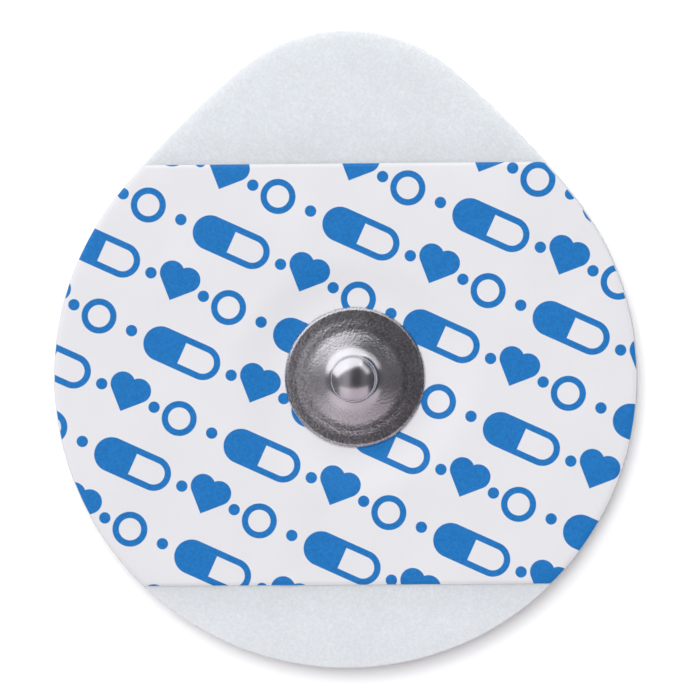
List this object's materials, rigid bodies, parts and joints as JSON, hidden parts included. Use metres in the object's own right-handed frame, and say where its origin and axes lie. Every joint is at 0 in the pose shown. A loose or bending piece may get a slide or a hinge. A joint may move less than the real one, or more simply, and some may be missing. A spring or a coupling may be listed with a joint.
{
  "type": "ecg electrode",
  "caption": "Disposable snap electrode for heart monitoring: round foam pad with a pull tab, printed label, metal snap stud, sensor eyelet and gel pad underneath.",
  "frame": {"origin": "on the snap stud's axis, at the skin face", "axes": "+Z along the snap stud, away from the skin; +Y towards the pull tab; +X to the right with the tab up and the stud towards the viewer"},
  "size_m": [0.0507, 0.0556, 0.0051],
  "materials": {
    "foam": "soft closed-cell foam, fine matte grain, cool white",
    "label": "thin white film with blue print, smooth and slightly satin",
    "stud_metal": "pressed plated sheet, polished head and cone, pebbled flange",
    "sensor_coating": "moulded plastic with a dull grey silver chloride coating",
    "gel": "clear tacky hydrogel, wet gloss"
  },
  "bodies": {
    "root": {"foam_backing": "foam", "printed_label": "label", "snap_stud": "stud_metal", "sensor_eyelet": "sensor_coating", "gel_pad": "gel"}
  },
  "joints": []
}
